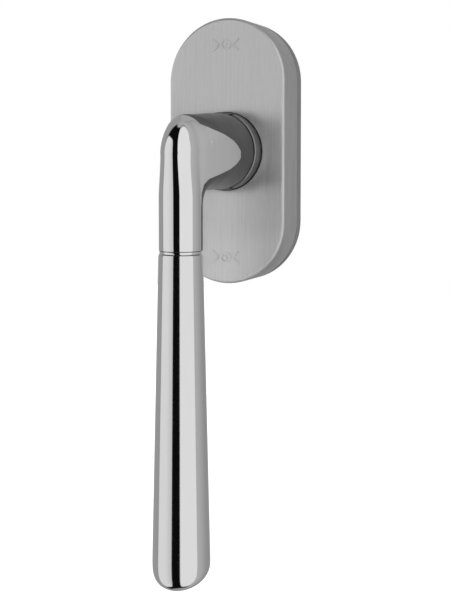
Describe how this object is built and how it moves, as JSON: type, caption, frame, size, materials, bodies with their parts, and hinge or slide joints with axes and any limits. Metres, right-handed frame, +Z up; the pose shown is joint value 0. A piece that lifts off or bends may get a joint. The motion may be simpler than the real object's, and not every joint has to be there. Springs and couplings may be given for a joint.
{
  "type": "window handle",
  "caption": "Tilt-and-turn window handle: tapered lever grip on a bent neck, oval clip-on rose, click mechanism and square spindle.",
  "frame": {"origin": "where the spindle's axis meets the window frame's face, on the plane of the rose's back", "axes": "+Z up, with the closed handle hanging down; -Y towards the room, +Y into the window frame along the spindle; +X to the right as seen from the room"},
  "size_m": [0.0326, 0.0827, 0.142],
  "materials": {
    "satin_chrome": "satin chrome, fine upright brushing",
    "mirror_chrome": "polished chrome",
    "polished_grip": "chrome, soft polish",
    "collar_metal": "turned, satin",
    "zinc_casting": "die-cast zinc, as cast",
    "plain_steel": "zinc plated",
    "spring_steel": "bright drawn",
    "black_steel": "black oxide",
    "black_nylon": "moulded, matte"
  },
  "bodies": {
    "base": {"base_plate": "zinc_casting", "retaining_plate": "plain_steel", "plate_rivet_1": "plain_steel", "plate_rivet_2": "plain_steel", "plate_rivet_3": "plain_steel", "plate_rivet_4": "plain_steel", "neck_collar": "collar_metal", "fixing_screw_upper": "plain_steel", "fixing_screw_lower": "plain_steel", "detent_spring_upper": "spring_steel", "detent_spring_lower": "spring_steel"},
    "ball_upper": {"detent_ball_upper": "plain_steel"},
    "ball_lower": {"detent_ball_lower": "plain_steel"},
    "carrier": {"pivot_ring": "black_nylon", "cover_clip_right": "spring_steel", "cover_clip_left": "spring_steel"},
    "cover": {"cover_shell": "satin_chrome"},
    "handle": {"neck_casting": "mirror_chrome", "spacer_ring": "mirror_chrome", "grip": "polished_grip", "joining_stud": "plain_steel", "grub_screw": "black_steel", "spindle": "plain_steel", "rotor": "plain_steel", "thrust_washer": "black_nylon", "circlip": "spring_steel"}
  },
  "joints": [
    {"name": "handle_turn", "type": "hinge", "parent": "base", "child": "handle", "pos_m": [0, 0, 0], "axis": [0, -1, 0], "range_deg": [0, 180]},
    {"name": "cover_lift", "type": "slide", "parent": "base", "child": "carrier", "axis": [0, -1, 0], "range_m": [0, 0.014]},
    {"name": "cover_rock", "type": "hinge", "parent": "carrier", "child": "cover", "pos_m": [0, -0.0125, 0], "axis": [1, 0, 0], "range_deg": [-1.2, 1.2], "stiffness_Nm_per_rad": 0.5},
    {"name": "upper_click", "type": "slide", "parent": "base", "child": "ball_upper", "axis": [0, 0, -1], "range_m": [0, 0.0006], "stiffness_N_per_m": 20, "deforming": ["detent_spring_upper"]},
    {"name": "lower_click", "type": "slide", "parent": "base", "child": "ball_lower", "axis": [0, 0, 1], "range_m": [0, 0.0006], "stiffness_N_per_m": 20, "deforming": ["detent_spring_lower"]}
  ]
}
